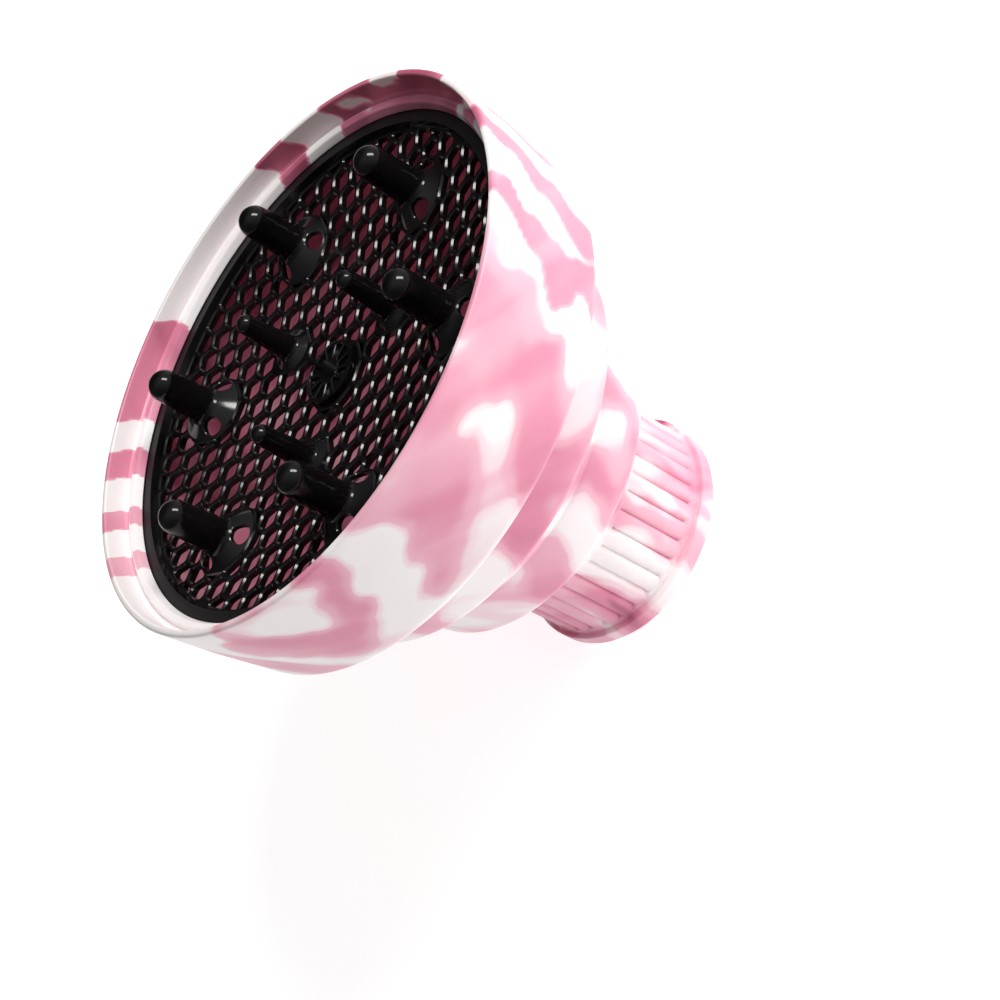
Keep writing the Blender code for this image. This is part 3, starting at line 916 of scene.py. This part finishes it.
def build_fin(number, azimuth, material):
    """A blade rooted in the socket's wall, whose free edge runs out to the wall at the dryer's end and
    is cut back at the other."""
    levels = 22
    points, faces = [], []
    for i in range(levels + 1):
        share = i / levels
        height = FIN_BOTTOM + (FIN_TOP - FIN_BOTTOM) * share
        reach = FIN_REACH * min(1.0, 0.08 + 2.4 * share) ** 0.6
        reach *= 1.0 - 0.5 * max(0.0, (share - 0.8) / 0.2) ** 2
        section = fin_section(reach)
        for x, y in section:
            radius = FIN_ROOT_RADIUS - x
            angle = azimuth + math.atan2(y, radius)
            distance = math.hypot(radius, y)
            points.append((distance * math.cos(angle), distance * math.sin(angle), height))
    count = len(section)
    for i in range(levels):
        low, high = i * count, (i + 1) * count
        for j in range(count):
            beside = (j + 1) % count
            faces.append((high + j, high + beside, low + beside, low + j))
    faces.append(tuple(range(count)))
    faces.append(tuple(reversed(range(levels * count, (levels + 1) * count))))
    obj = dress(mesh_object(f"fin_{number:02d}", points, faces, 50.0), material)
    name = f"grip_fin_{number:02d}"
    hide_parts(name)
    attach(obj, name)


def build_fins(material):
    fins = [(pair, side) for pair in range(FIN_PAIRS) for side in (-1, 1)]
    for number, (pair, side) in enumerate(fins, 1):
        azimuth = TAU * (pair + 0.5) / FIN_PAIRS + FIN_SPREAD * side
        build_fin(number, azimuth, material)


def hub_pockets():
    """The openings between the hub's spokes."""
    inner, outer = HUB_POCKET_RADII
    pockets = []
    for k in range(HUB_POCKETS):
        middle = TAU * (k + 0.5) / HUB_POCKETS
        corners = []
        for radius, sign in ((inner, -1), (outer, -1), (outer, 0), (outer, 1), (inner, 1)):
            angle = middle + sign * (math.pi / HUB_POCKETS - HUB_SPOKE / 2 / radius)
            corners.append((radius * math.cos(angle), radius * math.sin(angle)))
        pockets.append(hole_loops(corners, HUB_CORNER, HUB_EDGE))
    return pockets


def build_hub(material):
    """The wheel at the grille's centre, and the disc that closes its pockets from below."""
    low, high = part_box("grille_hub")
    top, under = high.z / MM, low.z / MM
    edge = ((0.25, 0.0), (0.07, 0.07), (0.0, 0.25), (0.0, -0.2), (0.25, 0.0))
    rim = disc_loops(HUB_RADIUS, HUB_SIDES, edge)
    wheel = pierced_slab(rim, [], hub_pockets(), lambda x, y: top, lambda x, y: top - HUB_DEPTH)
    base_top, base_radius = top - HUB_DEPTH + 0.1, HUB_RADIUS - 0.3
    base = [(0.0, base_top), (base_radius, base_top), (base_radius, under)]
    disc = peg("hub_base", base, 0, 0, HUB_SIDES)
    hub = mesh_object("hub_wheel", *wheel, 30.0)
    for piece in (hub, disc):
        dress(piece, material)
        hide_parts("grille_hub")
        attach(piece, "bowl")


def build_insert():
    """The black grille with its prongs and hub."""
    plate_black = black_plastic("grille_plastic", gloss=0.12, grain=0.05, shine=0.36)
    prong_black = black_plastic("prong_plastic", gloss=0.10, grain=0.03, shine=0.28)
    grille = dress(build_grille(), plate_black)
    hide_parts("grille_plate")
    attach(grille, "bowl")
    for name, x, y, boss, prong in PLACES:
        piece = dress(peg(f"{name}_polished", prong_outline(boss, prong), x, y), prong_black)
        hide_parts(name)
        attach(piece, "bowl")
    build_hub(plate_black)


# ---------------------------------------------------------------- studio


CAMERA_AT = Vector((0.0037, -0.3917, 0.3177))
CAMERA_RIGHT = Vector((0.4852, -0.4923, -0.7226))
CAMERA_UP = Vector((0.8740, 0.2966, 0.3848))
CAMERA_BACK = CAMERA_RIGHT.cross(CAMERA_UP)
FOCAL_LENGTH = 64.8
SENSOR_WIDTH = 36.0
MIDDLE = Vector((0.0, 0.0, 0.075))  # what the lights look at
BEYOND_MOUTH = Vector((-0.03, 0.82, 0.57))
FLOOR_HEIGHT = -0.2
FLOOR_RADIUS = 2500.0
FLOOR_SIDES = 64


def build_camera():
    data = bpy.data.cameras.new("camera")
    data.sensor_width = SENSOR_WIDTH
    data.lens = FOCAL_LENGTH
    data.clip_start = 0.01
    camera = bpy.data.objects.new("camera", data)
    bpy.context.scene.collection.objects.link(camera)
    turn = Matrix((CAMERA_RIGHT, CAMERA_UP, CAMERA_BACK)).transposed()
    camera.matrix_world = Matrix.Translation(CAMERA_AT) @ turn.to_4x4()
    bpy.context.scene.camera = camera


def soft_light(name, direction, distance, size, power, colour=(1, 1, 1)):
    """An area light that looks at the middle of the object from a direction in the model's frame."""
    data = bpy.data.lights.new(name, "AREA")
    data.shape = "RECTANGLE"
    data.size, data.size_y = size
    data.energy = power
    data.color = colour
    light = bpy.data.objects.new(name, data)
    bpy.context.scene.collection.objects.link(light)
    direction = direction.normalized()
    light.location = MIDDLE + direction * distance
    along = (CAMERA_RIGHT - direction * CAMERA_RIGHT.dot(direction)).normalized()
    turn = Matrix((along, direction.cross(along), direction)).transposed()
    light.rotation_mode = "QUATERNION"
    light.rotation_quaternion = turn.to_quaternion()


def seen(right, up, back):
    """A direction given the way the camera sees it."""
    return CAMERA_RIGHT * right + CAMERA_UP * up + CAMERA_BACK * back


def strength_towards(tree, direction, cosines, strengths):
    """A strength that goes smoothly from one value to another as the world nears a direction."""
    coords = tree.nodes.new("ShaderNodeTexCoord")
    toward = tree.nodes.new("ShaderNodeVectorMath")
    toward.operation = "DOT_PRODUCT"
    toward.inputs[1].default_value = direction
    tree.links.new(coords.outputs["Generated"], toward.inputs[0])
    level = tree.nodes.new("ShaderNodeMapRange")
    level.interpolation_type = "SMOOTHSTEP"
    names = ("From Min", "From Max", "To Min", "To Max")
    for name, value in zip(names, (*cosines, *strengths)):
        level.inputs[name].default_value = value
    tree.links.new(toward.outputs["Value"], level.inputs["Value"])
    return level.outputs["Result"]


def build_world():
    world = bpy.data.worlds.new("studio")
    world.use_nodes = True
    tree = world.node_tree
    background = tree.nodes["Background"]
    background.inputs["Color"].default_value = (1.0, 0.99, 0.98, 1.0)
    # The room is dimmer beyond the mouth, so the black grille has something dark to reflect.
    beyond = strength_towards(tree, BEYOND_MOUTH, (0.35, 0.95), (0.60, 0.035))
    # It's also dimmer below the object, as the camera sees it, so that undersides are shaded.
    below = strength_towards(tree, CAMERA_UP, (-0.7, 0.5), (0.22, 1.0))
    both = tree.nodes.new("ShaderNodeMath")
    both.operation = "MULTIPLY"
    tree.links.new(beyond, both.inputs[0])
    tree.links.new(below, both.inputs[1])
    tree.links.new(both.outputs["Value"], background.inputs["Strength"])
    bpy.context.scene.world = world


def build_floor():
    """A pale disc just below the object, which glows a little so that it stays almost white."""
    points = [(0.0, 0.0, FLOOR_HEIGHT)]
    points += [(x, y, FLOOR_HEIGHT) for x, y in polygon(0, 0, FLOOR_RADIUS, FLOOR_SIDES)]
    faces = [(0, 1 + j, 1 + (j + 1) % FLOOR_SIDES) for j in range(FLOOR_SIDES)]
    n = Nodes("pale_floor")
    n.shader.inputs["Base Color"].default_value = (0.86, 0.86, 0.86, 1.0)
    n.shader.inputs["Roughness"].default_value = 0.85
    n.shader.inputs["Emission Color"].default_value = (1.0, 1.0, 1.0, 1.0)
    n.shader.inputs["Emission Strength"].default_value = 0.70
    floor = dress(mesh_object("floor", points, faces), n.material)


def build_studio():
    build_world()
    soft_light("key", seen(-0.02, 0.73, 0.67), 0.9, (0.52, 0.20), 7.3, (1.0, 0.99, 0.96))
    soft_light("side", seen(0.9, 0.25, 0.3), 0.9, (0.6, 0.6), 1.7)
    build_floor()
    bpy.context.scene.view_settings.view_transform = "Standard"


for start_object in [o for o in bpy.data.objects if o.type in ("CAMERA", "LIGHT") or o.name == "Cube"]:
    bpy.data.objects.remove(start_object)
build_camera()
build_studio()
build_bell()
socket_silicone = silicone("ribbed_silicone", size=0.6, twist=3.0, stretch=0.22, seed=2.0, pinker=0.03)
build_socket(socket_silicone)
build_fins(socket_silicone)
build_insert()
